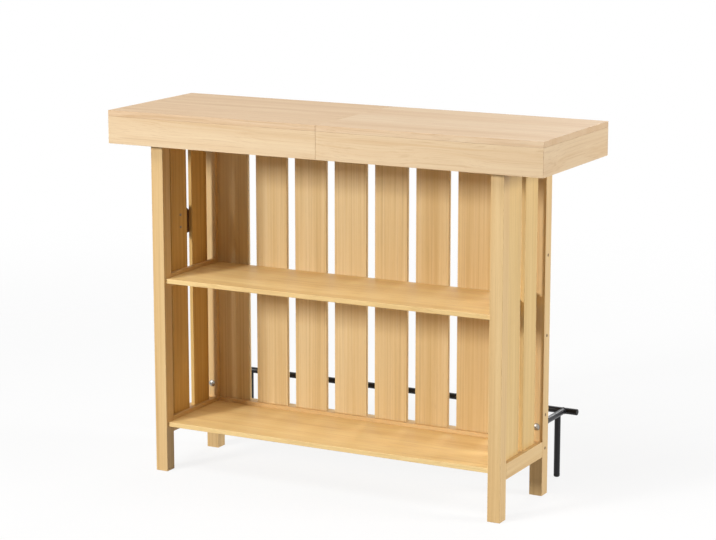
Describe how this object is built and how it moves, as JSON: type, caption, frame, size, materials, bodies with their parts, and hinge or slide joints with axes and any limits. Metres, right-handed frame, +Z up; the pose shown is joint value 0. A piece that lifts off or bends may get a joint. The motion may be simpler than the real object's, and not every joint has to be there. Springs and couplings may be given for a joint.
{
  "type": "bar counter",
  "caption": "Free-standing slatted timber bar counter with a boxed overhanging top, open shelves on the serving side and a black steel foot rail on the customers' side.",
  "frame": {"origin": "on the floor, under the middle of the whole outline, which runs from the counter's front edge to the back of the foot rail", "axes": "+X along the counter to the right of the person serving, +Y to the customers' side, +Z up"},
  "size_m": [1.2, 0.464, 0.94],
  "materials": {
    "counter_wood": "pale natural wood, clear satin lacquer",
    "frame_wood": "pale natural wood, clear satin lacquer",
    "slat_wood": "pale natural wood, clear satin lacquer",
    "shelf_wood": "pale natural wood, clear satin lacquer",
    "block_wood": "dark brown stained wood",
    "black_steel": "black powder coat, fine satin",
    "black_plastic": "moulded, matt",
    "zinc_steel": "bright zinc plate",
    "browned_steel": "chemically browned, dull",
    "cast_iron": "dark bronzed casting"
  },
  "bodies": {
    "root": {"top_panel_left": "counter_wood", "top_panel_right": "counter_wood", "front_apron_left": "counter_wood", "front_apron_right": "counter_wood", "rear_apron_left": "counter_wood", "rear_apron_right": "counter_wood", "end_apron_left": "counter_wood", "end_apron_right": "counter_wood", "seam_batten": "frame_wood", "seam_plate_front": "zinc_steel", "seam_plate_rear": "zinc_steel", "front_leg_left": "frame_wood", "front_leg_right": "frame_wood", "rear_leg_left": "frame_wood", "rear_leg_right": "frame_wood", "side_lower_rail_left": "frame_wood", "side_lower_rail_right": "frame_wood", "side_upper_rail_left": "frame_wood", "side_upper_rail_right": "frame_wood", "front_upper_rail": "frame_wood", "back_lower_rail": "frame_wood", "back_upper_rail": "frame_wood", "shelf_cleat_left": "frame_wood", "shelf_cleat_right": "frame_wood", "side_slat_left_1": "slat_wood", "side_slat_left_2": "slat_wood", "side_slat_right_1": "slat_wood", "side_slat_right_2": "slat_wood", "back_slat_1": "slat_wood", "back_slat_2": "slat_wood", "back_slat_3": "slat_wood", "back_slat_4": "slat_wood", "back_slat_5": "slat_wood", "back_slat_6": "slat_wood", "back_slat_7": "slat_wood", "back_slat_8": "slat_wood", "lower_shelf": "shelf_wood", "upper_shelf": "shelf_wood", "foot_rail": "black_steel", "foot_rail_arm_left": "black_steel", "foot_rail_arm_right": "black_steel", "foot_rail_post_left": "black_steel", "foot_rail_post_right": "black_steel", "rail_cap_left": "black_plastic", "rail_cap_right": "black_plastic", "post_foot_left": "black_plastic", "post_foot_right": "black_plastic", "arm_bolt_left": "zinc_steel", "arm_bolt_right": "zinc_steel", "rail_screw_left": "browned_steel", "rail_screw_right": "browned_steel", "slat_screw_left_1": "browned_steel", "slat_screw_left_2": "browned_steel", "slat_screw_left_3": "browned_steel", "slat_screw_right_1": "browned_steel", "slat_screw_right_2": "browned_steel", "slat_screw_right_3": "browned_steel", "opener_block": "block_wood", "bottle_opener": "cast_iron"}
  },
  "joints": []
}
